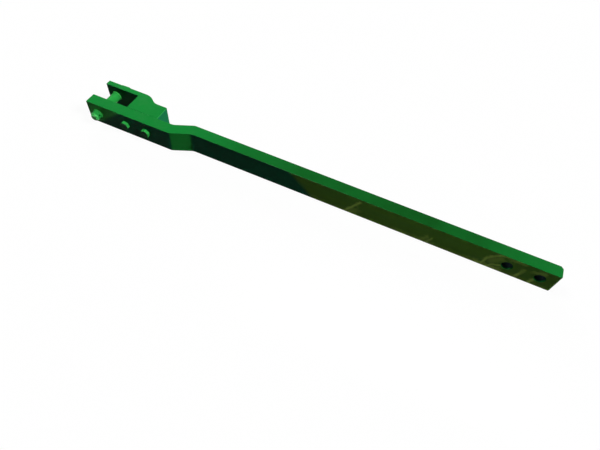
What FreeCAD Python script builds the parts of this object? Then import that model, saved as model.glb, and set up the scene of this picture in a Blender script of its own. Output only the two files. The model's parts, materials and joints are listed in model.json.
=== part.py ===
"""Offset tractor drawbar with a bolted hammer strap, a hitch pin and its bail.

The drawbar lies on one side edge, as a loose one does on a floor. X runs along the bar from the
implement to the tractor, Y is the way the pin points, from the underside of the bar to its top in
use, and Z is up, across the width of the bar. The origin is the hitch point: on the axis of the
hitch pin, midway between the two jaws and midway across the bar. Every length is in millimetres.
"""
import FreeCAD, Part
import os

import PartDesign
import Sketcher

DOCUMENT = FreeCAD.newDocument("tractor_drawbar")
VECTOR = FreeCAD.Vector
PLACE_TOLERANCE = 1e-3

SIZES = (
    # The bar: a flat bar, joggled once so that its hitch end sits lower than its run.
    ("bar_width", 101.6),
    ("bar_thickness", 50.8),
    ("bar_length", 2014.0),
    ("bar_tip_to_pin", 47.0),
    ("joggle_rise", 38.5),
    ("joggle_angle", 25.0),
    ("joggle_behind_strap", 122.5),
    ("joggle_inside_radius", 45.0),
    ("joggle_outside_radius", 30.0),
    ("bar_edge_radius", 1.5),
    ("bar_end_corner_radius", 3.0),
    ("bar_end_top_bevel", 10.0),
    ("bar_end_under_bevel", 4.0),
    ("tractor_hole_bore", 41.3),
    ("tractor_hole_to_end", 59.0),
    ("tractor_hole_spacing", 123.0),
    ("tractor_hole_bevel", 1.0),
    # The hammer strap: a block that stands on the hitch end and reaches back over the throat.
    ("jaw_gap", 82.0),
    ("throat_depth", 122.0),
    ("upper_jaw_thickness", 24.0),
    ("strap_nose_to_pin", 42.0),
    ("strap_step_behind_throat", 47.0),
    ("strap_step_drop", 31.5),
    ("strap_step_angle", 38.0),
    ("strap_crest_radius", 58.0),
    ("strap_foot_radius", 40.0),
    ("strap_throat_radius", 3.0),
    ("strap_edge_radius", 1.5),
    ("strap_rear_edge_radius", 4.0),
    # The wear bushes: thin sleeves round the pin, each with a bevelled lip that stands proud.
    ("pin_clearance", 0.5),
    ("bush_wall", 2.0),
    ("bush_lip", 4.5),
    ("bush_lip_bevel", 1.2),
    ("bush_seat_clearance", 0.02),
    # The hitch pin, with a collar head, a boss for the bail and a rounded end.
    ("pin_diameter", 40.0),
    ("pin_stick_out", 32.0),
    ("pin_nose_radius", 14.0),
    ("pin_collar_rim", 11.0),
    ("pin_collar_thickness", 8.0),
    ("pin_boss_step", 1.0),
    ("pin_boss_height", 13.0),
    ("pin_edge_bevel", 2.0),
    ("clip_hole_bore", 8.0),
    ("clip_hole_to_pin_end", 19.5),
    ("clip_hole_turn", 24.0),
    # The bail: round rod bent to a U, its two ends turned in to the hole of the boss.
    ("bail_rod", 8.0),
    ("bail_reach", 48.0),
    ("bail_bend_radius", 10.0),
    ("bail_side_gap", 0.5),
    ("bail_end_depth", 12.0),
    ("bail_hole_clearance", 0.1),
    ("bail_lift", 3.0),
    # The two strap bolts, with their heads under the bar.
    ("bolt_diameter", 22.2),
    ("bolt_flats", 33.3),
    ("bolt_head_height", 13.9),
    ("bolt_engagement", 45.0),
    ("bolt_end_bevel", 2.0),
    ("bolt_clearance", 0.65),
    ("bolt_thread_clearance", 0.02),
    ("bolt_hole_spare", 8.0),
    ("front_bolt_behind_throat", 18.0),
    ("bolt_spacing", 100.0),
    ("rear_bolt_to_strap_end", 31.5),
    ("front_bolt_turn", 50.0),
    ("rear_bolt_turn", 20.0),
)


def make_sheet():
    """The spreadsheet of driving sizes: a name, its number and the number's alias on each row."""
    table = DOCUMENT.addObject("Spreadsheet::Sheet", "Sizes")
    for row, (alias, number) in enumerate(SIZES, start=1):
        table.set(f"A{row}", alias)
        table.set(f"B{row}", str(number))
        table.setAlias(f"B{row}", alias)
    DOCUMENT.recompute()
    return table


SHEET = make_sheet()


def size(alias):
    """The number that a cell of the sheet holds."""
    return float(SHEET.get(alias))


# Heights along Y that several pieces share, as expressions of the sheet's cells.
JAW_FLOOR = "(-Sizes.jaw_gap / 2)"
JAW_ROOF = "(Sizes.jaw_gap / 2)"
HITCH_UNDERSIDE = f"({JAW_FLOOR} - Sizes.bar_thickness)"
RUN_UNDERSIDE = f"({HITCH_UNDERSIDE} + Sizes.joggle_rise)"
RUN_TOP = f"({RUN_UNDERSIDE} + Sizes.bar_thickness)"
STRAP_TOP = f"({JAW_ROOF} + Sizes.upper_jaw_thickness)"
TAIL_TOP = f"({STRAP_TOP} - Sizes.strap_step_drop)"
COLLAR_TOP = f"({STRAP_TOP} + Sizes.pin_collar_thickness)"
BOSS_TOP = f"({COLLAR_TOP} + Sizes.pin_boss_height)"
BAIL_AXIS = f"({COLLAR_TOP} + Sizes.pin_boss_height / 2)"
PIN_END = f"({HITCH_UNDERSIDE} - Sizes.pin_stick_out)"

# Places along X, from the pin's axis towards the tractor.
STRAP_STEP = "(Sizes.throat_depth + Sizes.strap_step_behind_throat)"
FRONT_BOLT = "(Sizes.throat_depth + Sizes.front_bolt_behind_throat)"
REAR_BOLT = f"({FRONT_BOLT} + Sizes.bolt_spacing)"
STRAP_END = f"({REAR_BOLT} + Sizes.rear_bolt_to_strap_end)"
JOGGLE_MIDDLE = f"({STRAP_END} + Sizes.joggle_behind_strap)"
BAR_END = "(Sizes.bar_length - Sizes.bar_tip_to_pin)"
LAST_HOLE = f"({BAR_END} - Sizes.tractor_hole_to_end)"
FIRST_HOLE = f"({LAST_HOLE} - Sizes.tractor_hole_spacing)"

# Radii about the pin's axis, and the bail's distance from it to each side.
PIN_RADIUS = "(Sizes.pin_diameter / 2)"
BUSH_INSIDE = f"({PIN_RADIUS} + Sizes.pin_clearance)"
BUSH_OUTSIDE = f"({BUSH_INSIDE} + Sizes.bush_wall)"
BUSH_SEAT = f"({BUSH_OUTSIDE} + Sizes.bush_seat_clearance)"
BOSS_RADIUS = f"({PIN_RADIUS} - Sizes.pin_boss_step)"
BAIL_LEG = f"({BOSS_RADIUS} + Sizes.bail_side_gap + Sizes.bail_bend_radius)"


def number(expression):
    """The value of such an expression with the sheet's present numbers."""
    return float(SHEET.evalExpression(expression))


def make_body(label):
    """An empty body, whose label is the name of its node."""
    body = DOCUMENT.addObject("PartDesign::Body", label)
    body.Label = label
    return body


def add_sketch(body, name, plane, offset=None):
    """A sketch on one of the body's own origin planes."""
    sketch = body.newObject("Sketcher::SketchObject", name)
    support = [part for part in body.Origin.OriginFeatures if part.Role == plane]
    sketch.AttachmentSupport = (support[0], [""])
    sketch.MapMode = "FlatFace"
    if offset:
        sketch.setExpression(".AttachmentOffset.Base.z", offset)
    return sketch


def pin_down(sketch, geometry, point, across, up):
    """Two distances from the sketch's origin that tie a point to two expressions."""
    for kind, expression in (("DistanceX", across), ("DistanceY", up)):
        rule = Sketcher.Constraint(kind, -1, 1, geometry, point, number(expression))
        index = sketch.addConstraint(rule)
        sketch.setExpression(f"Constraints[{index}]", expression)


def add_outline(body, name, plane, corners):
    """A closed outline of straight lines, each corner given as two expressions."""
    sketch = add_sketch(body, name, plane)
    spots = [VECTOR(number(across), number(up), 0) for across, up in corners]
    for index, spot in enumerate(spots):
        sketch.addGeometry(Part.LineSegment(spot, spots[(index + 1) % len(spots)]), False)
    for index in range(len(spots)):
        following = (index + 1) % len(spots)
        sketch.addConstraint(Sketcher.Constraint("Coincident", index, 2, following, 1))
    for index, (across, up) in enumerate(corners):
        pin_down(sketch, index, 1, across, up)
    return sketch


def add_circles(body, name, plane, circles, offset=None):
    """A sketch of circles, each given as a centre across, a centre up and a radius."""
    sketch = add_sketch(body, name, plane, offset)
    for across, up, radius in circles:
        centre = VECTOR(number(across), number(up), 0)
        circle = sketch.addGeometry(Part.Circle(centre, VECTOR(0, 0, 1), number(radius)), False)
        pin_down(sketch, circle, 3, across, up)
        index = sketch.addConstraint(Sketcher.Constraint("Radius", circle, number(radius)))
        sketch.setExpression(f"Constraints[{index}]", radius)
    return sketch


def pad_both_ways(body, name, sketch, length):
    """A pad half to each side of its sketch."""
    pad = body.newObject("PartDesign::Pad", name)
    pad.Profile = sketch
    pad.SideType = "Symmetric"
    pad.setExpression("Length", length)
    DOCUMENT.recompute()


def cut_through(body, name, sketch):
    """A pocket through the whole piece, to both sides of its sketch."""
    before = body.Shape.Volume
    pocket = body.newObject("PartDesign::Pocket", name)
    pocket.Profile = sketch
    pocket.Type = "ThroughAll"
    pocket.SideType = "Symmetric"
    DOCUMENT.recompute()
    check_cut(body, name, before)


def cut_blind(body, name, sketch, depth):
    """A blind pocket on the side of the sketch that its normal points away from."""
    before = body.Shape.Volume
    pocket = body.newObject("PartDesign::Pocket", name)
    pocket.Profile = sketch
    pocket.setExpression("Length", depth)
    DOCUMENT.recompute()
    check_cut(body, name, before)


def check_cut(body, name, volume_before):
    """A cut that points away from the piece leaves it as it was."""
    if body.Shape.Volume > volume_before - PLACE_TOLERANCE:
        raise RuntimeError(f"{name} cuts nothing from {body.Label}")


def dress_edges(body, kind, name, chosen, amount):
    """A fillet or chamfer on the edges that the chooser accepts."""
    edges = [f"Edge{index}" for index, edge in enumerate(body.Shape.Edges, start=1) if chosen(edge)]
    if not edges:
        raise RuntimeError(f"{name} finds no edge on {body.Label}")
    dressed = body.Tip
    feature = body.newObject(f"PartDesign::{kind}", name)
    feature.Base = (dressed, edges)
    feature.setExpression("Radius" if kind == "Fillet" else "Size", amount)
    DOCUMENT.recompute()


def near(left, right):
    """Whether two lengths are the same within the tolerance of this model."""
    return abs(left - right) < PLACE_TOLERANCE


def runs_across_at(across, up):
    """Accepts the edge that runs along Z through one corner of a side outline."""
    def chosen(edge):
        ends = [vertex.Point for vertex in edge.Vertexes]
        return len(ends) == 2 and all(near(end.x, across) and near(end.y, up) for end in ends)
    return chosen


def outlines_a_side(edge):
    """Accepts the edges that bound the two flat sides of a bar, at half its width."""
    half_width = size("bar_width") / 2
    box = edge.BoundBox
    return near(box.ZMin, box.ZMax) and near(abs(box.ZMin), half_width)


def revolve_about_pin(body, name, profile):
    """A full turn of a profile about the pin's axis."""
    revolution = body.newObject("PartDesign::Revolution", name)
    revolution.Profile = profile
    axis = [part for part in body.Origin.OriginFeatures if part.Role == "Y_Axis"]
    revolution.ReferenceAxis = (axis[0], [""])
    revolution.Angle = 360
    DOCUMENT.recompute()


def joggle_corners():
    """The four corners of the joggle before they are rounded, as expressions.

    The two faces of the bar turn on the line that halves each bend, so a corner on one face
    lies half a thickness times the tangent of half the angle from the middle line's corner.
    """
    half_run = "Sizes.joggle_rise / tan(Sizes.joggle_angle) / 2"
    shift = "Sizes.bar_thickness / 2 * tan(Sizes.joggle_angle / 2)"
    return {
        "under_first": (f"({JOGGLE_MIDDLE} - {half_run} + {shift})", HITCH_UNDERSIDE),
        "under_second": (f"({JOGGLE_MIDDLE} + {half_run} + {shift})", RUN_UNDERSIDE),
        "top_second": (f"({JOGGLE_MIDDLE} + {half_run} - {shift})", RUN_TOP),
        "top_first": (f"({JOGGLE_MIDDLE} - {half_run} - {shift})", JAW_FLOOR),
    }


def make_bar():
    """The main bar, sawn from flat bar, joggled, and drilled at both ends."""
    body = make_body("drawbar_bar")
    bend = joggle_corners()
    tip = "(-Sizes.bar_tip_to_pin)"
    outline = add_outline(body, "bar_side_outline", "XY_Plane", [
        (tip, HITCH_UNDERSIDE),
        bend["under_first"],
        bend["under_second"],
        (BAR_END, RUN_UNDERSIDE),
        (BAR_END, RUN_TOP),
        bend["top_second"],
        bend["top_first"],
        (tip, JAW_FLOOR),
    ])
    pad_both_ways(body, "bar_blank", outline, "Sizes.bar_width")

    inside = "Sizes.joggle_inside_radius"
    outside = "Sizes.joggle_outside_radius"
    for corner, radius in (("under_first", outside), ("under_second", inside),
                           ("top_second", outside), ("top_first", inside)):
        across, up = (number(expression) for expression in bend[corner])
        dress_edges(body, "Fillet", f"bend_{corner}", runs_across_at(across, up), radius)

    end = number(BAR_END)
    dress_edges(body, "Chamfer", "end_top_bevel", runs_across_at(end, number(RUN_TOP)),
                "Sizes.bar_end_top_bevel")
    dress_edges(body, "Chamfer", "end_under_bevel", runs_across_at(end, number(RUN_UNDERSIDE)),
                "Sizes.bar_end_under_bevel")

    def stands_at_the_end(edge):
        box = edge.BoundBox
        upright = near(box.ZMin, box.ZMax) and near(box.XMin, box.XMax)
        return upright and near(box.XMax, end)

    dress_edges(body, "Fillet", "end_corners", stands_at_the_end, "Sizes.bar_end_corner_radius")
    dress_edges(body, "Fillet", "bar_edges", outlines_a_side, "Sizes.bar_edge_radius")

    bolt_hole = "(Sizes.bolt_diameter / 2 + Sizes.bolt_clearance)"
    tractor_hole = "(Sizes.tractor_hole_bore / 2)"
    holes = add_circles(body, "bar_holes", "XZ_Plane", [
        ("0", "0", BUSH_SEAT),
        (FRONT_BOLT, "0", bolt_hole),
        (REAR_BOLT, "0", bolt_hole),
        (FIRST_HOLE, "0", tractor_hole),
        (LAST_HOLE, "0", tractor_hole),
    ])
    cut_through(body, "bar_drilling", holes)

    def rims_a_tractor_hole(edge):
        curve = edge.Curve
        if not isinstance(curve, Part.Circle) or not near(curve.Radius, number(tractor_hole)):
            return False
        return curve.Center.x > number(JOGGLE_MIDDLE)

    dress_edges(body, "Chamfer", "tractor_hole_rims", rims_a_tractor_hole,
                "Sizes.tractor_hole_bevel")
    return body


def make_strap():
    """The hammer strap: a cast block with the upper jaw, the throat and a lower tail."""
    body = make_body("hammer_strap")
    nose = "(-Sizes.strap_nose_to_pin)"
    foot = f"({STRAP_STEP} + Sizes.strap_step_drop / tan(Sizes.strap_step_angle))"
    outline = add_outline(body, "strap_side_outline", "XY_Plane", [
        (nose, JAW_ROOF),
        ("Sizes.throat_depth", JAW_ROOF),
        ("Sizes.throat_depth", JAW_FLOOR),
        (STRAP_END, JAW_FLOOR),
        (STRAP_END, TAIL_TOP),
        (foot, TAIL_TOP),
        (STRAP_STEP, STRAP_TOP),
        (nose, STRAP_TOP),
    ])
    pad_both_ways(body, "strap_blank", outline, "Sizes.bar_width")

    for name, across, up, radius in (
            ("step_crest", STRAP_STEP, STRAP_TOP, "Sizes.strap_crest_radius"),
            ("step_foot", foot, TAIL_TOP, "Sizes.strap_foot_radius"),
            ("throat_corner", "Sizes.throat_depth", JAW_ROOF, "Sizes.strap_throat_radius")):
        chosen = runs_across_at(number(across), number(up))
        dress_edges(body, "Fillet", name, chosen, radius)

    rear = number(STRAP_END)
    floor = number(JAW_FLOOR)

    def bounds_the_rear(edge):
        box = edge.BoundBox
        return near(box.XMin, rear) and near(box.XMax, rear) and box.YMax > floor + PLACE_TOLERANCE

    def bounds_a_free_side(edge):
        return outlines_a_side(edge) and edge.BoundBox.YMax > floor + PLACE_TOLERANCE

    dress_edges(body, "Fillet", "rear_edges", bounds_the_rear, "Sizes.strap_rear_edge_radius")
    dress_edges(body, "Fillet", "strap_edges", bounds_a_free_side, "Sizes.strap_edge_radius")

    seat = add_circles(body, "bush_seat", "XZ_Plane", [("0", "0", BUSH_SEAT)])
    cut_through(body, "bush_seat_boring", seat)

    tapped = "(Sizes.bolt_diameter / 2 + Sizes.bolt_thread_clearance)"
    threads = add_circles(body, "bolt_threads", "XZ_Plane", [
        (FRONT_BOLT, "0", tapped),
        (REAR_BOLT, "0", tapped),
    ], offset="Sizes.jaw_gap / 2")
    cut_blind(body, "bolt_tapping", threads, "Sizes.bolt_engagement + Sizes.bolt_hole_spare")
    return body


def make_bush(label, top, seat_end):
    """A wear bush through one jaw, its bevelled lip standing proud of the jaw's lower face."""
    body = make_body(label)
    lip_rim = f"({BUSH_OUTSIDE} - Sizes.bush_lip_bevel)"
    lip_end = f"({seat_end} - Sizes.bush_lip)"
    profile = add_outline(body, f"{label}_profile", "XY_Plane", [
        (BUSH_INSIDE, top),
        (BUSH_INSIDE, lip_end),
        (lip_rim, lip_end),
        (BUSH_OUTSIDE, seat_end),
        (BUSH_OUTSIDE, top),
    ])
    revolve_about_pin(body, f"{label}_turning", profile)
    return body


def make_pin():
    """The hitch pin: turned in one piece with its collar and boss, and cross drilled twice."""
    body = make_body("hitch_pin")
    collar = f"({PIN_RADIUS} + Sizes.pin_collar_rim)"
    profile = add_outline(body, "pin_profile", "XY_Plane", [
        ("0", PIN_END),
        (PIN_RADIUS, PIN_END),
        (PIN_RADIUS, STRAP_TOP),
        (collar, STRAP_TOP),
        (collar, f"({COLLAR_TOP} - Sizes.pin_edge_bevel)"),
        (f"({collar} - Sizes.pin_edge_bevel)", COLLAR_TOP),
        (BOSS_RADIUS, COLLAR_TOP),
        (BOSS_RADIUS, f"({BOSS_TOP} - Sizes.pin_edge_bevel)"),
        (f"({BOSS_RADIUS} - Sizes.pin_edge_bevel)", BOSS_TOP),
        ("0", BOSS_TOP),
    ])
    revolve_about_pin(body, "pin_turning", profile)

    end = number(PIN_END)

    def bounds_the_end(edge):
        return near(edge.BoundBox.YMin, end) and near(edge.BoundBox.YMax, end)

    dress_edges(body, "Fillet", "pin_nose", bounds_the_end, "Sizes.pin_nose_radius")

    bail_hole = add_circles(body, "bail_hole", "XY_Plane", [
        ("0", BAIL_AXIS, "(Sizes.bail_rod / 2 + Sizes.bail_hole_clearance)"),
    ])
    cut_through(body, "bail_hole_drilling", bail_hole)

    clip_hole = add_circles(body, "clip_hole", "YZ_Plane", [
        (f"({PIN_END} + Sizes.clip_hole_to_pin_end)", "0", "(Sizes.clip_hole_bore / 2)"),
    ])
    clip_hole.AttachmentOffset = FreeCAD.Placement(VECTOR(), FreeCAD.Rotation(VECTOR(1, 0, 0), 0))
    clip_hole.setExpression(".AttachmentOffset.Rotation.Angle", "-Sizes.clip_hole_turn")
    cut_through(body, "clip_hole_drilling", clip_hole)
    return body


def add_rod(name, radius, length, base, direction):
    """A straight round rod from a base point along a direction."""
    rod = DOCUMENT.addObject("Part::Cylinder", name)
    rod.setExpression("Radius", radius)
    rod.setExpression("Height", length)
    turn = FreeCAD.Rotation(VECTOR(0, 0, 1), direction)
    rod.Placement = FreeCAD.Placement(VECTOR(), turn)
    for axis, expression in zip("xyz", base):
        rod.setExpression(f".Placement.Base.{axis}", expression)
    return rod


def add_rod_bend(name, centre, first_turn):
    """A quarter ring of the bail's rod in the plane of X and Z, from a start angle onward."""
    bend = DOCUMENT.addObject("Part::Torus", name)
    bend.setExpression("Radius1", "Sizes.bail_bend_radius")
    bend.setExpression("Radius2", "Sizes.bail_rod / 2")
    bend.Angle3 = 90
    lay_flat = FreeCAD.Rotation(VECTOR(1, 0, 0), 90)
    start = FreeCAD.Rotation(VECTOR(0, 1, 0), -first_turn)
    bend.Placement = FreeCAD.Placement(VECTOR(), start.multiply(lay_flat))
    for axis, expression in zip("xyz", centre):
        bend.setExpression(f".Placement.Base.{axis}", expression)
    return bend


def make_bail():
    """The bail: a U of rod, both its ends turned in to the boss.

    It is bent up lying back along X from its own axis, and then set on the hitch pin with its
    grip a little lifted off the strap.
    """
    rod = "Sizes.bail_rod / 2"
    bend = "Sizes.bail_bend_radius"
    inner_end = f"({BOSS_RADIUS} - Sizes.bail_end_depth)"
    pieces = []
    for side, sign, corner_turn, tip_turn in (("upper", "", 90, 0), ("lower", "-", 180, 270)):
        outward = VECTOR(0, 0, 1 if sign == "" else -1)
        leg_height = f"{sign}{BAIL_LEG}"
        bend_height = f"{sign}({BAIL_LEG} - {bend})"
        pieces.append(add_rod(
            f"bail_{side}_end", rod, f"{BAIL_LEG} - {bend} - {inner_end}",
            ("0", "0", f"{sign}{inner_end}"), outward))
        pieces.append(add_rod(
            f"bail_{side}_leg", rod, f"Sizes.bail_reach - 2 * {bend}",
            (bend, "0", leg_height), VECTOR(1, 0, 0)))
        pieces.append(add_rod_bend(
            f"bail_{side}_inner_bend", (bend, "0", bend_height), corner_turn))
        pieces.append(add_rod_bend(
            f"bail_{side}_outer_bend",
            (f"Sizes.bail_reach - {bend}", "0", bend_height), tip_turn))
    pieces.append(add_rod(
        "bail_grip", rod, f"2 * ({BAIL_LEG} - {bend})",
        ("Sizes.bail_reach", "0", f"-({BAIL_LEG} - {bend})"), VECTOR(0, 0, 1)))
    bail = DOCUMENT.addObject("Part::MultiFuse", "pin_bail")
    bail.Label = "pin_bail"
    bail.Shapes = pieces
    bail.Refine = True
    bail.Placement.Rotation = FreeCAD.Rotation(VECTOR(0, 0, 1), 0)
    bail.setExpression(".Placement.Rotation.Angle", "Sizes.bail_lift")
    bail.setExpression(".Placement.Base.y", BAIL_AXIS)
    DOCUMENT.recompute()
    return bail


def make_bolt(label, place, turn):
    """A hexagon bolt up through the bar and into the strap, its head under the bar."""
    head_height = "Sizes.bolt_head_height"
    blank = DOCUMENT.addObject("Part::Prism", f"{label}_hexagon")
    blank.Polygon = 6
    blank.setExpression("Circumradius", "Sizes.bolt_flats / sqrt(3)")
    blank.setExpression("Height", head_height)
    blank.Placement.Rotation = FreeCAD.Rotation(VECTOR(0, 0, 1), 0)
    blank.setExpression(".Placement.Rotation.Angle", turn)
    turned_off = DOCUMENT.addObject("Part::Cone", f"{label}_head_cone")
    turned_off.setExpression("Radius1", f"Sizes.bolt_flats / 2 + {head_height} / tan(30)")
    turned_off.setExpression("Radius2", "Sizes.bolt_flats / 2")
    turned_off.setExpression("Height", head_height)
    head = DOCUMENT.addObject("Part::Common", f"{label}_head")
    head.Base = blank
    head.Tool = turned_off

    length = "Sizes.bar_thickness + Sizes.bolt_engagement"
    shank = DOCUMENT.addObject("Part::Cylinder", f"{label}_shank")
    shank.setExpression("Radius", "Sizes.bolt_diameter / 2")
    shank.setExpression("Height", f"{length} - Sizes.bolt_end_bevel")
    shank.Placement.Rotation = FreeCAD.Rotation(VECTOR(1, 0, 0), 180)
    end = DOCUMENT.addObject("Part::Cone", f"{label}_end_bevel")
    end.setExpression("Radius1", "Sizes.bolt_diameter / 2")
    end.setExpression("Radius2", "Sizes.bolt_diameter / 2 - Sizes.bolt_end_bevel")
    end.setExpression("Height", "Sizes.bolt_end_bevel")
    end.Placement.Rotation = FreeCAD.Rotation(VECTOR(1, 0, 0), 180)
    end.setExpression(".Placement.Base.z", f"Sizes.bolt_end_bevel - ({length})")

    bolt = DOCUMENT.addObject("Part::MultiFuse", label)
    bolt.Label = label
    bolt.Shapes = [head, shank, end]
    bolt.Placement.Rotation = FreeCAD.Rotation(VECTOR(0, 0, 1), VECTOR(0, -1, 0))
    bolt.setExpression(".Placement.Base.x", place)
    bolt.setExpression(".Placement.Base.y", HITCH_UNDERSIDE)
    DOCUMENT.recompute()
    return bolt


def check_document(parts):
    """Raises unless every object is computed and every piece is one valid solid."""
    for thing in DOCUMENT.Objects:
        if "Invalid" in thing.State or "Error" in thing.State:
            raise RuntimeError(f"{thing.Label} is {thing.State}")
    for piece in parts:
        shape = piece.Shape
        if shape.isNull() or not shape.isValid() or len(shape.Solids) != 1:
            raise RuntimeError(f"{piece.Label} is not one valid solid")


def main():
    """Builds every piece, checks it and writes it to a file of its own."""
    parts = [
        make_bar(),
        make_strap(),
        make_bush("lower_wear_bush", JAW_FLOOR, HITCH_UNDERSIDE),
        make_bush("upper_wear_bush", STRAP_TOP, JAW_ROOF),
        make_pin(),
        make_bail(),
        make_bolt("front_strap_bolt", FRONT_BOLT, "Sizes.front_bolt_turn"),
        make_bolt("rear_strap_bolt", REAR_BOLT, "Sizes.rear_bolt_turn"),
    ]
    DOCUMENT.recompute()
    check_document(parts)
    os.makedirs("parts", exist_ok=True)
    for piece in parts:
        piece.Shape.exportStep(f"parts/{piece.Label}.step")
        box = piece.Shape.BoundBox
        spans = ", ".join(f"{low:.1f} to {high:.1f}" for low, high in (
            (box.XMin, box.XMax), (box.YMin, box.YMax), (box.ZMin, box.ZMax)))
        print(f"{piece.Label}: {spans}, {piece.Shape.Volume / 1000:.1f} cm3")


main()
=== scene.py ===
"""Looks of a tractor drawbar: its green enamel piece by piece, then the floor, light and camera.

The drawbar lies on one side edge. X runs from the implement to the tractor, Y from the underside
of the bar to its top in use, and Z is up, across the bar's width. Lengths are in metres.
"""

import json
import math

import bpy
from mathutils import Euler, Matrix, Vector


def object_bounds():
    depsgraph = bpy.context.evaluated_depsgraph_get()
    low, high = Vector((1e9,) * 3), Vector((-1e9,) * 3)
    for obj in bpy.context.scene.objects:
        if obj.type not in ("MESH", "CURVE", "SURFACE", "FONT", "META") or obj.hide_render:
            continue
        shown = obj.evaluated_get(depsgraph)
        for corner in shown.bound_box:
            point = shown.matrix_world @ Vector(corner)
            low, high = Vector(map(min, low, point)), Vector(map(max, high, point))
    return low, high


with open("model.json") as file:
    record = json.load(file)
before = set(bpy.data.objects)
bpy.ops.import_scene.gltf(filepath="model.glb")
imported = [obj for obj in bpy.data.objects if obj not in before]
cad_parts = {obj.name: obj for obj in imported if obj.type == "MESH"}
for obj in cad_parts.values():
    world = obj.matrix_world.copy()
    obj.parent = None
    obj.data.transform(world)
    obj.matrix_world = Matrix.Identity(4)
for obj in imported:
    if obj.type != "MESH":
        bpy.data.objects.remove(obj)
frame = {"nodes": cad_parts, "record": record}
cad_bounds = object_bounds()


# The main bar.
# Flat steel bar, 2 by 4 inches, hot rolled, joggled once at the hitch end and drilled, then
# sprayed all over with green enamel. Painted shade darkens its middle, its underside and deep in
# its tractor holes; painted reflections of an olive ground and a painted bolt shadow lie on most of
# its underside, with a few rust freckles near the hitch.

UPWARD = (0.0, 0.0, 1.0)
OUT_OF_THE_UNDERSIDE = (0.0, -1.0, 0.0)
LEVEL_PART = (1.0, 1.0, 0.0)
SIDEWAYS_PART = (1.0, 0.0, 1.0)


def new_group(name, inputs, outputs):
    """An empty shader node group with named sockets, with its input node and its output node.

    An input is a name, a kind and a default, and an output is a name and a kind.
    """
    group = bpy.data.node_groups.new(name, "ShaderNodeTree")
    for label, kind, default in inputs:
        socket = group.interface.new_socket(label, in_out="INPUT", socket_type=f"NodeSocket{kind}")
        if default is not None:
            socket.default_value = default
    for label, kind in outputs:
        group.interface.new_socket(label, in_out="OUTPUT", socket_type=f"NodeSocket{kind}")
    return group, group.nodes.new("NodeGroupInput"), group.nodes.new("NodeGroupOutput")


def feed(tree, node, socket, term):
    """Sets an input: a (node, output) pair is linked to it, anything else is its value."""
    if isinstance(term, tuple) and isinstance(term[0], bpy.types.Node):
        tree.links.new(term[0].outputs[term[1]], node.inputs[socket])
    else:
        node.inputs[socket].default_value = term


def math_of(tree, operation, *terms, clamp=False):
    """The result of a Math node, as a pair; its terms are numbers or pairs."""
    node = tree.nodes.new("ShaderNodeMath")
    node.operation = operation
    node.use_clamp = clamp
    for index, term in enumerate(terms):
        feed(tree, node, index, term)
    return node, 0


def vector_of(tree, operation, *terms, output=0):
    """The result of a Vector Math node, as a pair; SCALE takes its number at socket 3."""
    node = tree.nodes.new("ShaderNodeVectorMath")
    node.operation = operation
    for index, term in enumerate(terms):
        feed(tree, node, 3 if operation == "SCALE" and index == 1 else index, term)
    return node, output


def step_of(tree, value, low, high, start=0.0, end=1.0):
    """A smooth step from start to end while a value goes from low to high, as a pair."""
    node = tree.nodes.new("ShaderNodeMapRange")
    node.interpolation_type = "SMOOTHSTEP"
    for socket, term in (("Value", value), ("From Min", low), ("From Max", high),
                         ("To Min", start), ("To Max", end)):
        feed(tree, node, socket, term)
    return node, 0


def mix_of(tree, factor, first, second):
    """A mix of two colours, as a pair: sockets 6 and 7 of a colour Mix node, and its output 2."""
    node = tree.nodes.new("ShaderNodeMix")
    node.data_type = "RGBA"
    for socket, term in (("Factor", factor), (6, first), (7, second)):
        feed(tree, node, socket, term)
    return node, 2


def noise_of(tree, vector, scale, detail=2.0, roughness=0.5):
    """A noise pattern over coordinates, in grains of one over its scale, as a pair."""
    node = tree.nodes.new("ShaderNodeTexNoise")
    for socket, term in (("Vector", vector), ("Scale", scale), ("Detail", detail),
                         ("Roughness", roughness)):
        feed(tree, node, socket, term)
    return node, 0


ENAMEL = (0.0095, 0.262, 0.040, 1.0)
SETTLED_ENAMEL = (0.007, 0.215, 0.034, 1.0)


def build_enamel_skin():
    """Sprayed enamel: slow drifts of its tone, a fine orange peel and a little uneven gloss.

    Tone is a slow noise in patches of a third of a metre plus a weaker one in patches of a
    hand's width. Height is orange peel with waves of about 3 mm over sags of about 20 mm.
    """
    group, given, out = new_group("enamel_skin", (
        ("Vector", "Vector", None), ("Colour", "Color", ENAMEL),
        ("Settled Colour", "Color", SETTLED_ENAMEL), ("Drift", "Float", 0.5),
        ("Peel", "Float", 0.5), ("Plain Roughness", "Float", 0.24),
    ), (("Colour", "Color"), ("Roughness", "Float"), ("Height", "Float")))
    place = (given, "Vector")
    slow = noise_of(group, place, scale=3.0)
    hand = noise_of(group, place, scale=14.0, detail=3.0)
    both = math_of(group, "MULTIPLY_ADD", hand, 0.4, slow)
    settled = step_of(group, both, low=0.52, high=0.88)
    amount = math_of(group, "MULTIPLY", settled, (given, "Drift"))
    tone = mix_of(group, amount, (given, "Colour"), (given, "Settled Colour"))
    peel = math_of(group, "MULTIPLY", noise_of(group, place, scale=330.0), (given, "Peel"))
    sags = noise_of(group, place, scale=45.0)
    height = math_of(group, "MULTIPLY_ADD", sags, 0.6, peel)
    patchy = step_of(group, hand, low=0.3, high=0.75, start=-0.04, end=0.08)
    rough = math_of(group, "ADD", patchy, (given, "Plain Roughness"), clamp=True)
    for label, source in (("Colour", tone), ("Roughness", rough), ("Height", height)):
        feed(group, out, label, source)
    return group


def build_facing():
    """How squarely a surface faces a direction: a smooth step of the normal's dot product."""
    group, given, out = new_group("facing", (
        ("Direction", "Vector", UPWARD), ("Low", "Float", 0.5), ("High", "Float", 0.95),
    ), (("Mask", "Float"),))
    surface = group.nodes.new("ShaderNodeNewGeometry")
    along = vector_of(group, "DOT_PRODUCT", (surface, "Normal"), (given, "Direction"), output=1)
    feed(group, out, "Mask", step_of(group, along, (given, "Low"), (given, "High")))
    return group


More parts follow.
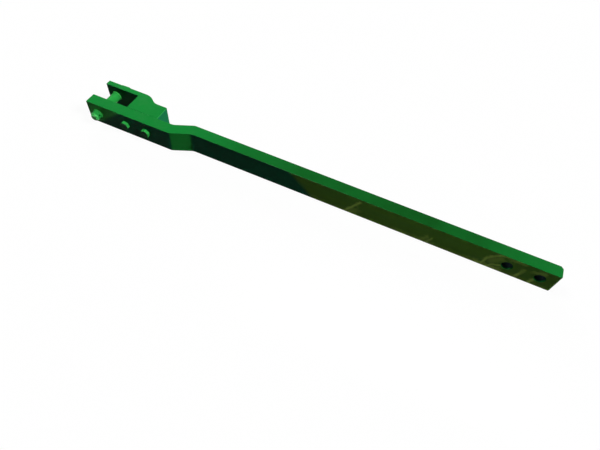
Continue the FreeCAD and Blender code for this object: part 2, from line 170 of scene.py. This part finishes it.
def build_edge_thinning_and_highlight():
    """Where enamel drew back from a rounded edge of an upper or a lower face, with a painted
    highlight on it.

    The mask is one less the larger of the normal's upright part and its level part, stepped
    smoothly: nothing on a wall, however it slants in plan, and most half way round the edge.
    """
    group, given, out = new_group("edge_thinning_and_highlight", (
        ("Start", "Float", 0.12), ("Amount", "Float", 0.5)), (("Mask", "Float"),))
    surface = group.nodes.new("ShaderNodeNewGeometry")
    parts = group.nodes.new("ShaderNodeSeparateXYZ")
    feed(group, parts, 0, (surface, "Normal"))
    level = vector_of(group, "MULTIPLY", (surface, "Normal"), LEVEL_PART)
    level = vector_of(group, "LENGTH", level, output=1)
    larger = math_of(group, "MAXIMUM", level, math_of(group, "ABSOLUTE", (parts, "Z")))
    between = math_of(group, "SUBTRACT", 1.0, larger)
    over = math_of(group, "SUBTRACT", between, (given, "Start"))
    thinned = step_of(group, over, low=0.0, high=0.08)
    feed(group, out, "Mask", math_of(group, "MULTIPLY", thinned, (given, "Amount")))
    return group


def build_shop_dust():
    """Fine dust in soft patches, for a surface that looks up."""
    group, given, out = new_group("shop_dust", (
        ("Vector", "Vector", None), ("Facing", "Float", 1.0), ("Amount", "Float", 0.12),
    ), (("Mask", "Float"),))
    cloud = noise_of(group, (given, "Vector"), scale=22.0, detail=5.0, roughness=0.65)
    patch = step_of(group, cloud, low=0.42, high=0.75)
    mask = math_of(group, "MULTIPLY", patch, (given, "Facing"))
    feed(group, out, "Mask", math_of(group, "MULTIPLY", mask, (given, "Amount")))
    return group


def build_wavering_border():
    """One side of a wavering straight border: the distance past it along a direction, stepped.

    The border goes through Point and lies square to Across; it wavers by a slow noise.
    """
    group, given, out = new_group("wavering_border", (
        ("Vector", "Vector", None), ("Point", "Vector", (0, 0, 0)), ("Across", "Vector", UPWARD),
        ("Softness", "Float", 0.03), ("Waver", "Float", 0.01)), (("Mask", "Float"),))
    place = (given, "Vector")
    offset = vector_of(group, "SUBTRACT", place, (given, "Point"))
    past = vector_of(group, "DOT_PRODUCT", offset, (given, "Across"), output=1)
    swing = math_of(group, "SUBTRACT", noise_of(group, place, scale=18.0), 0.5)
    past = math_of(group, "MULTIPLY_ADD", swing, (given, "Waver"), past)
    half = math_of(group, "MULTIPLY", (given, "Softness"), 0.5)
    low = math_of(group, "SUBTRACT", 0.0, half)
    feed(group, out, "Mask", step_of(group, past, low, half))
    return group


def build_streak_mark():
    """A mark along a straight line in the X and Z plane.

    The distance to the line is that of the place less its nearest point between From and To,
    which is From plus the share of the run that the dot product gives. A ragged noise widens
    and narrows the mark, and the mask steps smoothly from the middle of it out to Width.
    """
    group, given, out = new_group("streak_mark", (
        ("Vector", "Vector", None), ("From", "Vector", (0, 0, 0)), ("To", "Vector", (0, 0, 0.1)),
        ("Width", "Float", 0.006), ("Strength", "Float", 1.0)), (("Mask", "Float"),))
    place = (given, "Vector")
    offset = vector_of(group, "SUBTRACT", place, (given, "From"))
    offset = vector_of(group, "MULTIPLY", offset, SIDEWAYS_PART)
    run = vector_of(group, "SUBTRACT", (given, "To"), (given, "From"))
    run = vector_of(group, "MULTIPLY", run, SIDEWAYS_PART)
    along = vector_of(group, "DOT_PRODUCT", offset, run, output=1)
    whole = vector_of(group, "DOT_PRODUCT", run, run, output=1)
    share = math_of(group, "DIVIDE", along, whole, clamp=True)
    nearest = vector_of(group, "SCALE", run, share)
    apart = vector_of(group, "LENGTH", vector_of(group, "SUBTRACT", offset, nearest), output=1)
    noise = noise_of(group, place, scale=70.0, detail=4.0)
    ragged = step_of(group, noise, low=0.3, high=0.7, start=0.6, end=1.3)
    edge = math_of(group, "MULTIPLY", (given, "Width"), ragged)
    mask = math_of(group, "SUBTRACT", 1.0, step_of(group, apart, 0.0, edge))
    feed(group, out, "Mask", math_of(group, "MULTIPLY", mask, (given, "Strength")))
    return group


BORE_SLACK = 0.00045
# The painted shade in the bores starts past this place along Y.
SHADE_FROM_Y = -0.047


def build_bore_wall():
    """The wall of a bore along Y: no farther from its axis than its radius, past a first depth."""
    group, given, out = new_group("bore_wall", (
        ("Vector", "Vector", None), ("Centre", "Vector", (0, 0, 0)), ("Radius", "Float", 0.02),
        ("Start", "Float", SHADE_FROM_Y)), (("Mask", "Float"),))
    offset = vector_of(group, "SUBTRACT", (given, "Vector"), (given, "Centre"))
    offset = vector_of(group, "MULTIPLY", offset, SIDEWAYS_PART)
    apart = vector_of(group, "LENGTH", offset, output=1)
    beyond = math_of(group, "ADD", (given, "Radius"), BORE_SLACK)
    inside = math_of(group, "LESS_THAN", apart, beyond)
    parts = group.nodes.new("ShaderNodeSeparateXYZ")
    feed(group, parts, 0, (given, "Vector"))
    past = math_of(group, "SUBTRACT", (parts, "Y"), (given, "Start"))
    deep = step_of(group, past, low=-0.003, high=0.003)
    feed(group, out, "Mask", math_of(group, "MULTIPLY", inside, deep))
    return group


def build_rust_freckles():
    """Small specks where rust breaks through: the peaks of a fine noise inside broad patches."""
    group, given, out = new_group("rust_freckles", (
        ("Vector", "Vector", None), ("Amount", "Float", 0.6)), (("Mask", "Float"),))
    place = (given, "Vector")
    fine = noise_of(group, place, scale=240.0, roughness=0.6)
    speck = step_of(group, fine, low=0.60, high=0.68)
    patch = step_of(group, noise_of(group, place, scale=30.0), low=0.50, high=0.62)
    mask = math_of(group, "MULTIPLY", speck, patch)
    feed(group, out, "Mask", math_of(group, "MULTIPLY", mask, (given, "Amount")))
    return group


ENAMEL_SKIN = build_enamel_skin()
FACING = build_facing()
EDGE_THINNING_AND_HIGHLIGHT = build_edge_thinning_and_highlight()
SHOP_DUST = build_shop_dust()
WAVERING_BORDER = build_wavering_border()
STREAK_MARK = build_streak_mark()
BORE_WALL = build_bore_wall()
RUST_FRECKLES = build_rust_freckles()

THIN_ENAMEL_AND_HIGHLIGHT = (0.050, 0.470, 0.115, 1.0)
UNDERSIDE_PAINTED_SHADE = (0.006, 0.114, 0.049, 1.0)
DUST = (0.060, 0.230, 0.080, 1.0)
ENAMEL_GLOSS = 0.008
RELIEF_DEPTH = 0.0004


class Coat:
    """The coat of one piece while it is built up: its colour, gloss and height so far."""

    def __init__(self, name, gloss=ENAMEL_GLOSS, dust=0.12, **skin_values):
        """Fresh enamel with painted shade on the faces out of the underside, and a little dust
        where it looks up.
        """
        self.material = bpy.data.materials.new(name)
        self.material.use_nodes = True
        self.tree = self.material.node_tree
        self.shader = self.tree.nodes["Principled BSDF"]
        self.shader.inputs["Specular IOR Level"].default_value = gloss
        self.place = (self.tree.nodes.new("ShaderNodeTexCoord"), "Object")
        skin = self.use(ENAMEL_SKIN, **skin_values)[0]
        self.colour = (skin, "Colour")
        self.roughness = (skin, "Roughness")
        self.height = (skin, "Height")
        self.underside = self.faces(OUT_OF_THE_UNDERSIDE, 0.93, 0.99)
        # Painted shade: the faces out of the underside take a darker green.
        self.cover(self.underside, UNDERSIDE_PAINTED_SHADE)
        looks_up = self.faces(UPWARD, 0.5, 0.95)
        self.cover(self.use(SHOP_DUST, Facing=looks_up, Amount=dust), DUST)

    def use(self, group, **values):
        """The first output of a node group, as a pair; underscores in a name stand for spaces."""
        node = self.tree.nodes.new("ShaderNodeGroup")
        node.node_tree = group
        if "Vector" in node.inputs:
            feed(self.tree, node, "Vector", self.place)
        for label, value in values.items():
            feed(self.tree, node, label.replace("_", " "), value)
        return node, 0

    def faces(self, direction, low, high):
        """A mask of where the surface faces a direction."""
        return self.use(FACING, Direction=direction, Low=low, High=high)

    def cover(self, mask, colour, share=1.0):
        """Lays a colour over the coat where the mask is one, as thickly as its share says."""
        if share < 1.0:
            mask = math_of(self.tree, "MULTIPLY", mask, share)
        self.colour = mix_of(self.tree, mask, self.colour, colour)

    def thin_and_highlight_edges(self, amount, start=0.12):
        """Lets the enamel look thin and lighter along rounded edges: thin enamel and a painted
        highlight.
        """
        self.cover(self.use(EDGE_THINNING_AND_HIGHLIGHT, Start=start, Amount=amount), THIN_ENAMEL_AND_HIGHLIGHT)

    def raise_by(self, pattern, amount):
        """Adds a pattern to the height of the coat."""
        self.height = math_of(self.tree, "MULTIPLY_ADD", pattern, amount, self.height)

    def stretched(self, scales):
        """Coordinates times a scale along each axis, for a pattern that is longer one way."""
        return vector_of(self.tree, "MULTIPLY", self.place, scales)

    def finish(self, *nodes, bump=0.25):
        """Joins the coat to its shader and gives it to carried-over pieces."""
        relief = self.tree.nodes.new("ShaderNodeBump")
        relief.inputs["Strength"].default_value = bump
        relief.inputs["Distance"].default_value = RELIEF_DEPTH
        feed(self.tree, relief, "Height", self.height)
        feed(self.tree, self.shader, "Normal", (relief, 0))
        feed(self.tree, self.shader, "Roughness", self.roughness)
        feed(self.tree, self.shader, "Base Color", self.colour)
        for node in nodes:
            for slot in frame["nodes"][node].material_slots:
                slot.material = self.material


# Painted shade for the middle of the run.
RUN_PAINTED_SHADE = (0.006, 0.085, 0.011, 1.0)
SHADE_REACH = 2.0
# Each stop is a share of the reach along X and how strong the painted shade is there.
SHADE_STOPS = (
    (0.0, 0.0), (0.24, 0.02), (0.35, 0.65), (0.5, 0.76), (0.7, 0.93), (0.84, 0.85), (1.0, 0.3))


def shade_the_run(coat):
    """Painted shade that grows from the joggle to the middle of the run and thins towards its end.
    """
    tree = coat.tree
    parts = tree.nodes.new("ShaderNodeSeparateXYZ")
    feed(tree, parts, 0, coat.place)
    shade_ramp = tree.nodes.new("ShaderNodeValToRGB")
    shade_ramp.color_ramp.interpolation = "B_SPLINE"
    stops = shade_ramp.color_ramp.elements
    for index, (along, amount) in enumerate(SHADE_STOPS):
        # A new ramp has two stops already.
        stop = stops[index] if index < 2 else stops.new(along)
        stop.position = along
        stop.color = (amount, amount, amount, 1.0)
    feed(tree, shade_ramp, 0, math_of(tree, "DIVIDE", (parts, "X"), SHADE_REACH))
    clouds = noise_of(tree, coat.place, scale=9.0, detail=5.0, roughness=0.6)
    cloudy = step_of(tree, clouds, low=0.3, high=0.7, start=0.88, end=1.08)
    amount = math_of(tree, "MULTIPLY", (shade_ramp, 0), cloudy)
    elsewhere = math_of(tree, "SUBTRACT", 1.0, coat.underside)
    coat.cover(math_of(tree, "MULTIPLY", amount, elsewhere), RUN_PAINTED_SHADE)


TIP_GROUND_REFLECTION = (0.062, 0.400, 0.078, 1.0)
OLIVE_GROUND_REFLECTION = (0.108, 0.250, 0.026, 1.0)
PALE_GROUND_REFLECTION = (0.430, 0.640, 0.130, 1.0)
PAINTED_SHADE_DARK = (0.001, 0.045, 0.018, 1.0)
RUST = (0.290, 0.150, 0.018, 1.0)
# Painted reflection streaks: each is where it starts, where it ends, its width and its strength.
REFLECTION_STREAKS = (
    ((1.136, 0, -0.052), (1.190, 0, 0.032), 0.011, 1.0),
    ((1.142, 0, -0.056), (1.180, 0, -0.020), 0.030, 0.4),
    ((1.455, 0, -0.052), (1.478, 0, -0.015), 0.020, 0.35),
    ((1.480, 0, -0.050), (1.496, 0, -0.012), 0.010, 0.5),
    ((1.345, 0, -0.046), (1.395, 0, -0.044), 0.022, 0.25),
    ((1.635, 0, -0.046), (1.690, 0, -0.042), 0.022, 0.3),
    ((1.680, 0, -0.044), (1.765, 0, -0.042), 0.024, 0.75),
    ((1.700, 0, -0.045), (1.707, 0, 0.001), 0.011, 1.0),
    ((1.707, 0, 0.001), (1.722, 0, 0.023), 0.012, 0.85),
    ((1.722, 0, 0.023), (1.747, 0, 0.044), 0.012, 0.7),
    ((1.747, 0, 0.044), (1.780, 0, 0.052), 0.014, 0.6),
    ((1.716, 0, -0.050), (1.738, 0, -0.024), 0.011, 0.85),
    ((1.738, 0, -0.024), (1.768, 0, -0.010), 0.011, 0.75),
    ((1.728, 0, -0.004), (1.752, 0, 0.024), 0.030, 0.4),
    ((1.790, 0, 0.047), (1.830, 0, 0.046), 0.022, 0.45),
    ((1.830, 0, -0.047), (1.838, 0, -0.019), 0.011, 0.9),
    ((1.838, 0, -0.019), (1.845, 0, 0.012), 0.012, 0.6),
    ((1.886, 0, -0.047), (1.890, 0, -0.018), 0.012, 0.85),
    ((1.878, 0, 0.022), (1.914, 0, 0.033), 0.017, 0.45),
)
# Painted shadow of the rear bolt's head: where it starts, where it ends, its width and its
# strength.
REAR_BOLT_SHADOW = ((0.179, 0, -0.047), (0.197, 0, -0.012), 0.022, 0.8)
JOGGLE_LEAN = math.radians(25.0)
OUT_OF_THE_JOGGLE = (math.sin(JOGGLE_LEAN), -math.cos(JOGGLE_LEAN), 0.0)


def streak(coat, start, end, width, strength):
    """The mask of one streak mark."""
    return coat.use(STREAK_MARK, From=start, To=end, Width=width, Strength=strength)


def paint_underside_reflections_shadow_and_rust(coat):
    """Painted reflections of olive ground on the run, the tip, streaks and joggle; a painted bolt
    shadow; rust.
    """
    tree = coat.tree

    def on_the_underside(mask):
        return math_of(tree, "MULTIPLY", mask, coat.underside)

    # Painted reflection: a greener tint of the ground on the underside at the tip.
    tip = coat.use(WAVERING_BORDER, Point=(0.074, 0.0, 0.016), Across=(-0.64, 0.0, 0.77),
                   Softness=0.02, Waver=0.006)
    coat.cover(on_the_underside(tip), TIP_GROUND_REFLECTION)
    # Painted reflection of an olive ground on the run's underside, in streaks.
    run = coat.use(WAVERING_BORDER, Point=(0.944, 0.0, 0.0), Across=(0.68, 0.0, 0.735),
                   Softness=0.028, Waver=0.006)
    streaks = noise_of(tree, coat.stretched((5.0, 1.0, 40.0)), scale=1.0, detail=4.0, roughness=0.6)
    streaky = step_of(tree, streaks, low=0.25, high=0.75, start=0.86, end=1.0)
    coat.cover(on_the_underside(math_of(tree, "MULTIPLY", run, streaky)), OLIVE_GROUND_REFLECTION)
    # Paler painted reflection in patches near the lower edge, and along the listed streaks.
    low_edge = coat.use(WAVERING_BORDER, Point=(0.0, 0.0, -0.038), Across=(0.0, 0.0, -1.0),
                        Softness=0.035, Waver=0.03)
    patches = noise_of(tree, coat.place, scale=7.0, detail=3.0)
    patchy = step_of(tree, patches, low=0.35, high=0.65, start=0.05, end=0.35)
    pale_patches = math_of(tree, "MULTIPLY", math_of(tree, "MULTIPLY", low_edge, patchy), run)
    coat.cover(on_the_underside(pale_patches), PALE_GROUND_REFLECTION)
    marks = [streak(coat, *mark) for mark in REFLECTION_STREAKS]
    streaked = marks[0]
    for mark in marks[1:]:
        streaked = math_of(tree, "MAXIMUM", streaked, mark)
    coat.cover(on_the_underside(streaked), PALE_GROUND_REFLECTION)
    # Painted shadow of the rear bolt's head on the underside.
    coat.cover(on_the_underside(streak(coat, *REAR_BOLT_SHADOW)), PAINTED_SHADE_DARK)
    hitch_end = coat.use(WAVERING_BORDER, Point=(0.30, 0.0, 0.0), Across=(-1.0, 0.0, 0.0), Softness=0.1)
    rust = math_of(tree, "MULTIPLY", coat.use(RUST_FRECKLES), hitch_end)
    coat.cover(on_the_underside(rust), RUST)
    # A faint painted reflection on the joggle's outer face.
    coat.cover(coat.faces(OUT_OF_THE_JOGGLE, 0.95, 0.99), OLIVE_GROUND_REFLECTION, share=0.06)


BORE_PAINTED_SHADE = (0.010, 0.022, 0.026, 1.0)
TRACTOR_HOLES = ("tractor_second_pin_hole", "tractor_pin_hole")


def darken_the_bores(coat):
    """Painted shade deep inside the two tractor pin holes; only their rims keep the plain enamel.
    """
    mounts = {mount["name"]: mount for mount in frame["record"]["mounts"]}
    for hole in TRACTOR_HOLES:
        radius = mounts[hole]["dims"]["r_mm"] / 1000.0
        coat.cover(coat.use(BORE_WALL, Centre=mounts[hole]["pos_m"], Radius=radius), BORE_PAINTED_SHADE)


bar_coat = Coat("bar_enamel")
shade_the_run(bar_coat)
paint_underside_reflections_shadow_and_rust(bar_coat)
bar_coat.thin_and_highlight_edges(0.5)
darken_the_bores(bar_coat)
rolled = bar_coat.stretched((6.0, 160.0, 160.0))
bar_coat.raise_by(noise_of(bar_coat.tree, rolled, scale=1.0, detail=3.0), 0.8)
bar_coat.finish("drawbar_bar")


# The hammer strap.
# A cast steel block, bolted on the far side of the hitch end, that carries the upper jaw. The
# casting is rougher than the bar, under the same enamel, with a painted bluish reflection on its
# faces towards the tractor and painted shade on the faces out of its underside.

BLUISH_REFLECTION_ENAMEL = (0.012, 0.255, 0.095, 1.0)
TO_THE_TRACTOR = (1.0, 0.0, 0.0)


def build_pebble():
    """The pebbled skin of cast or forged steel: a fractal noise in grains of one over Scale."""
    group, given, out = new_group("pebble", (
        ("Vector", "Vector", None), ("Scale", "Float", 150.0)), (("Height", "Float"),))
    grains = noise_of(group, (given, "Vector"), (given, "Scale"), detail=4.0, roughness=0.6)
    feed(group, out, "Height", grains)
    return group


PEBBLE = build_pebble()

strap_coat = Coat("strap_enamel", Peel=0.8)
# Painted bluish reflection on the faces towards the tractor.
strap_coat.cover(strap_coat.faces(TO_THE_TRACTOR, 0.9, 0.99), BLUISH_REFLECTION_ENAMEL)
# Painted shade on the strap's faces out of the underside, deep in the throat.
strap_coat.cover(strap_coat.underside, PAINTED_SHADE_DARK, share=0.25)
# A strong painted highlight along the strap's edges, with thin enamel.
strap_coat.thin_and_highlight_edges(0.9)
strap_coat.raise_by(strap_coat.use(PEBBLE), 1.4)
strap_coat.finish("hammer_strap", bump=0.4)


# The wear bushes.
# Thin hardened sleeves, turned, and driven into both jaws before the whole is sprayed. Their
# green is far lighter than the bar's, as a painted highlight on their lit lips.

BUSH_HIGHLIGHT_ENAMEL = (0.070, 0.680, 0.115, 1.0)


def build_turned_rings():
    """Fine rings left by turning about an axis along Y: a sine of the place along it."""
    group, given, out = new_group("turned_rings", (
        ("Vector", "Vector", None), ("Pitch", "Float", 0.0012)), (("Height", "Float"),))
    parts = group.nodes.new("ShaderNodeSeparateXYZ")
    feed(group, parts, 0, (given, "Vector"))
    turns = math_of(group, "DIVIDE", (parts, "Y"), (given, "Pitch"))
    angle = math_of(group, "MULTIPLY", turns, 2 * math.pi)
    feed(group, out, "Height", math_of(group, "SINE", angle))
    return group


TURNED_RINGS = build_turned_rings()

# The bushes' lighter green is a painted highlight on their lit lips.
bush_coat = Coat("bush_enamel", gloss=0.02, dust=0.0, Colour=BUSH_HIGHLIGHT_ENAMEL)
bush_coat.raise_by(bush_coat.use(TURNED_RINGS), 0.12)
bush_coat.finish("lower_wear_bush", "upper_wear_bush")


# The hitch pin and its bail.
# A turned pin with a collar, a boss and a rounded end, and a bent rod handle that swings in the
# boss. Both are enamelled, glossier than the bar, in a green lightened as a painted sheen, and the
# pin's end is lightened further as painted light.

# The pin's and bail's green is lightened beyond the bar's as a painted sheen.
PIN_SHEEN_ENAMEL = (0.028, 0.430, 0.068, 1.0)
NOSE_PAINTED_LIGHT = (0.075, 0.700, 0.135, 1.0)
PIN_GLOSS = 0.04
PIN_DUST = 0.05

pin_coat = Coat("pin_enamel", gloss=PIN_GLOSS, dust=PIN_DUST, Colour=PIN_SHEEN_ENAMEL,
                Plain_Roughness=0.14)
# Painted light: the pin's faces out of the underside, its rounded end most, are lightened.
pin_coat.cover(pin_coat.faces(OUT_OF_THE_UNDERSIDE, 0.05, 0.5), NOSE_PAINTED_LIGHT)
pin_coat.raise_by(pin_coat.use(TURNED_RINGS, Pitch=0.0016), 0.10)
pin_coat.finish("hitch_pin", bump=0.2)

bail_coat = Coat("bail_enamel", gloss=PIN_GLOSS, dust=PIN_DUST, Colour=PIN_SHEEN_ENAMEL,
                 Plain_Roughness=0.2)
bail_coat.finish("pin_bail")


# The strap bolts.
# Two forged hexagon bolts that go up through the bar into the strap's tapped holes. Their heads
# are under the bar, sprayed in place; their green is lightened as a painted sheen, and their end
# faces carry a little painted reflection of an olive ground.

# The bolts' green is lightened beyond the bar's as a painted sheen.
BOLT_SHEEN_ENAMEL = (0.045, 0.600, 0.095, 1.0)

bolt_coat = Coat("bolt_enamel", gloss=0.012, dust=0.0, Colour=BOLT_SHEEN_ENAMEL)
# A little painted reflection of an olive ground on the bolts' end faces.
bolt_coat.cover(bolt_coat.underside, OLIVE_GROUND_REFLECTION, share=0.12)
bolt_coat.cover(bolt_coat.use(RUST_FRECKLES, Amount=0.4), RUST)
bolt_coat.thin_and_highlight_edges(0.3, start=0.2)
bolt_coat.raise_by(bolt_coat.use(PEBBLE, Scale=180.0), 0.8)
bolt_coat.finish("front_strap_bolt", "rear_strap_bolt")


# The floor that the drawbar lies on: plain and white to the eye, with only the shadow on it. It
# throws little light back at the object, because its own colour is dark and its glow isn't seen
# by the light that bounces.

FLOOR_GLOW = 0.94
FLOOR_COLOUR = (0.06, 0.06, 0.06, 1.0)
FLOOR_HALF = 6.0
FLOOR_MIDDLE_X = 1.0
WHITE = (1.0, 1.0, 1.0, 1.0)


def seen_directly(tree):
    """One for camera, glossy and transmission rays, and nothing for the light that bounces."""
    path = tree.nodes.new("ShaderNodeLightPath")
    seen = math_of(tree, "MAXIMUM", (path, "Is Camera Ray"), (path, "Is Glossy Ray"))
    return math_of(tree, "MAXIMUM", seen, (path, "Is Transmission Ray"))


def lay_floor():
    """A flat square, twelve metres a side, at the drawbar's lowest point."""
    low = cad_bounds[0][2]
    corners = [(FLOOR_MIDDLE_X + along * FLOOR_HALF, across * FLOOR_HALF, low)
               for along, across in ((-1, -1), (1, -1), (1, 1), (-1, 1))]
    mesh = bpy.data.meshes.new("studio_floor")
    mesh.from_pydata(corners, [], [(0, 1, 2, 3)])
    floor = bpy.data.objects.new("studio_floor", mesh)
    bpy.context.scene.collection.objects.link(floor)
    material = bpy.data.materials.new("studio_floor")
    material.use_nodes = True
    tree = material.node_tree
    shader = tree.nodes["Principled BSDF"]
    shader.inputs["Base Color"].default_value = FLOOR_COLOUR
    shader.inputs["Roughness"].default_value = 0.9
    shader.inputs["Specular IOR Level"].default_value = 0.0
    shader.inputs["Emission Color"].default_value = WHITE
    glow = math_of(tree, "MULTIPLY", seen_directly(tree), FLOOR_GLOW)
    feed(tree, shader, "Emission Strength", glow)
    mesh.materials.append(material)


lay_floor()


# The light: a key lamp high on the tractor's side, a cross lamp high on the implement's side, a
# softer lamp behind, a low panel before the run, and an even white room. The glint lamp is seen
# by glossy surfaces alone, and makes the small highlight on the pin's end.

ROOM_WHITE = 1.0
ROOM_LIGHT = 0.03


def light_room():
    """A white world to the eye that sheds only a little light on the object."""
    world = bpy.data.worlds.new("studio")
    world.use_nodes = True
    bpy.context.scene.world = world
    tree = world.node_tree
    background = tree.nodes["Background"]
    background.inputs["Color"].default_value = WHITE
    strength = step_of(tree, seen_directly(tree), 0.0, 1.0, start=ROOM_LIGHT, end=ROOM_WHITE)
    feed(tree, background, "Strength", strength)


def hang_sun(name, towards, strength, angle, glint_only=False):
    """A distant lamp that shines from a direction, as broad as its angle in degrees.

    With glint_only it adds nothing to the matt part of a surface, only to its gloss.
    """
    data = bpy.data.lights.new(name, "SUN")
    data.energy = strength
    data.angle = math.radians(angle)
    lamp = bpy.data.objects.new(name, data)
    lamp.rotation_euler = Vector(towards).to_track_quat("Z", "Y").to_euler()
    lamp.visible_diffuse = not glint_only
    bpy.context.scene.collection.objects.link(lamp)


def stand_panel(name, place, aim, width, height, power):
    """A soft panel of light at a place, turned to a point that it lights."""
    data = bpy.data.lights.new(name, "AREA")
    data.shape = "RECTANGLE"
    data.size, data.size_y = width, height
    data.energy = power
    lamp = bpy.data.objects.new(name, data)
    lamp.location = place
    lamp.rotation_euler = (Vector(place) - Vector(aim)).to_track_quat("Z", "Y").to_euler()
    lamp.visible_camera = False
    bpy.context.scene.collection.objects.link(lamp)


light_room()
hang_sun("key_lamp", (0.76, -0.005, 0.65), strength=2.40, angle=14.0)
hang_sun("cross_lamp", (-0.60, 0.02, 0.80), strength=1.18, angle=14.0)
hang_sun("back_lamp", (-0.55, 0.75, 0.35), strength=1.2, angle=30.0)
hang_sun("glint_lamp", (-0.217, -0.975, 0.038), strength=20.0, angle=3.0, glint_only=True)
stand_panel("low_panel", (1.50, -0.62, 0.16), aim=(1.50, -0.05, 0.0), width=1.0, height=0.22,
            power=0.30)


# The camera: the photograph's place and angle, for a frame of 600 by 450 pixels. Its focal length
# is in pixels of that frame, and it has no shift.

FOCAL_PIXELS = 472.89
FRAME_PIXELS = 600.0
SENSOR_MM = 36.0
CAMERA_PLACE = (1.31559, -1.22226, 1.47151)
CAMERA_DEGREES = (34.7829, -4.7046, 23.5764)


def set_camera():
    """The camera fitted to the photograph's long edges, hitch block and tractor holes."""
    data = bpy.data.cameras.new("photo_camera")
    data.sensor_width = SENSOR_MM
    data.lens = SENSOR_MM * FOCAL_PIXELS / FRAME_PIXELS
    data.clip_start = 0.05
    camera = bpy.data.objects.new("photo_camera", data)
    camera.location = CAMERA_PLACE
    camera.rotation_euler = Euler([math.radians(turn) for turn in CAMERA_DEGREES])
    bpy.context.scene.collection.objects.link(camera)
    bpy.context.scene.camera = camera


set_camera()
bpy.context.scene.view_settings.view_transform = "Standard"
